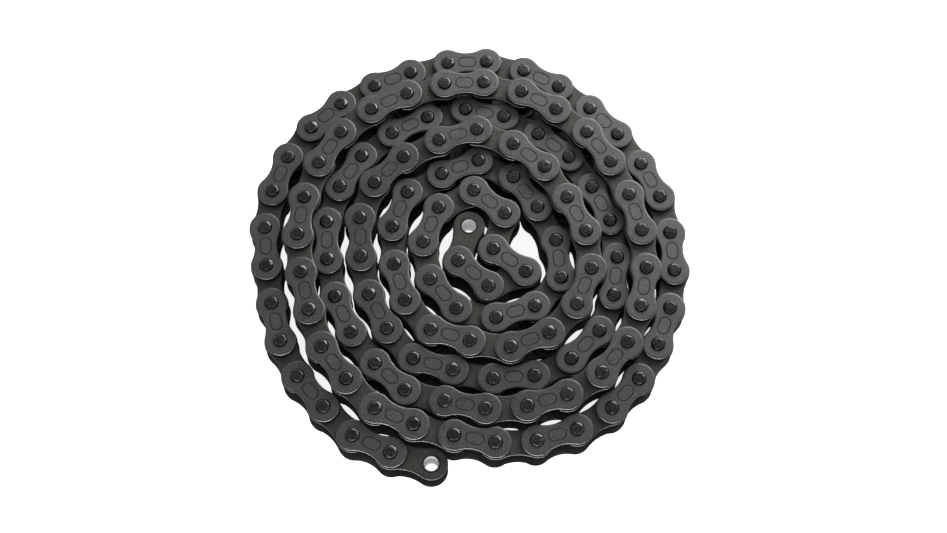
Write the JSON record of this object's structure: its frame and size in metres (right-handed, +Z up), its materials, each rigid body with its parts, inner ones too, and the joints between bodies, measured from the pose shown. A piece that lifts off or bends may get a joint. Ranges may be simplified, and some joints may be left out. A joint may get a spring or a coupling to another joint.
{
  "type": "roller chain",
  "caption": "Length of steel roller chain lying on its side in a loose flat coil, with an open inner link at each end.",
  "frame": {"origin": "middle of the coil's bounding box, on the floor it lies on", "axes": "+Z up, along the pins; +X to the right and +Y away from the viewer of the picture; the chain winds inwards clockwise seen from +Z"},
  "size_m": [0.1398, 0.1458, 0.0183],
  "materials": {
    "outer_plate": "dark, matte, lightly oiled",
    "inner_plate": "dark, slightly brown, matte",
    "pin": "near black, riveted end",
    "bush": "smooth bore",
    "roller": "smooth, dark",
    "chain": "dark, matte, lightly oiled"
  },
  "bodies": {
    "coil": {"chain_links_003_to_005": "chain", "chain_links_006_to_008": "chain", "chain_links_009_to_011": "chain", "chain_links_012_to_014": "chain", "chain_links_015_to_017": "chain", "chain_links_018_to_020": "chain", "chain_links_021_to_023": "chain", "chain_links_024_to_026": "chain", "chain_links_027_to_029": "chain", "chain_links_030_to_032": "chain", "chain_links_033_to_035": "chain", "chain_links_036_to_038": "chain", "chain_links_039_to_041": "chain", "chain_links_042_to_044": "chain", "chain_links_045_to_047": "chain", "chain_links_048_to_050": "chain", "chain_links_051_to_053": "chain", "chain_links_054_to_056": "chain", "chain_links_057_to_059": "chain", "chain_links_060_to_062": "chain", "chain_links_063_to_065": "chain", "chain_links_066_to_068": "chain", "chain_links_069_to_071": "chain", "chain_links_072_to_074": "chain", "chain_links_075_to_077": "chain", "chain_links_078_to_080": "chain", "chain_links_081_to_083": "chain", "chain_links_084_to_086": "chain", "chain_links_087_to_089": "chain", "chain_links_090_to_092": "chain", "chain_links_093_to_095": "chain", "chain_links_096_to_098": "chain", "chain_links_099_to_101": "chain", "chain_links_102_to_104": "chain", "chain_links_105_to_107": "chain", "chain_links_108_to_110": "chain", "chain_links_111_to_113": "chain", "chain_links_114_to_116": "chain", "chain_links_117_to_119": "chain", "chain_links_120_to_122": "chain", "chain_links_123_to_125": "chain"},
    "second_link": {"end_outer_plate_bottom": "outer_plate", "end_outer_plate_top": "outer_plate", "end_pin_first": "pin", "end_pin_second": "pin"},
    "end_link": {"end_inner_plate_bottom": "inner_plate", "end_inner_plate_top": "inner_plate", "end_bush_open": "bush", "end_bush_pinned": "bush"},
    "open_end_roller": {"end_roller_open": "roller"},
    "pinned_end_roller": {"end_roller_pinned": "roller"}
  },
  "joints": [
    {"name": "second_link_hinge", "type": "hinge", "parent": "coil", "child": "second_link", "pos_m": [-0.03262, -0.06042, 0.00737], "axis": [0, 0, -1], "range_deg": [0, 90]},
    {"name": "end_link_hinge", "type": "hinge", "parent": "second_link", "child": "end_link", "pos_m": [-0.02084, -0.06518, 0.00737], "axis": [0, 0, -1], "range_deg": [0, 90]},
    {"name": "open_end_roller_spin", "type": "hinge", "parent": "end_link", "child": "open_end_roller", "pos_m": [-0.00842, -0.06782, 0.00737], "axis": [0, 0, 1], "continuous": true},
    {"name": "pinned_end_roller_spin", "type": "hinge", "parent": "end_link", "child": "pinned_end_roller", "pos_m": [-0.02084, -0.06518, 0.00737], "axis": [0, 0, 1], "continuous": true}
  ]
}
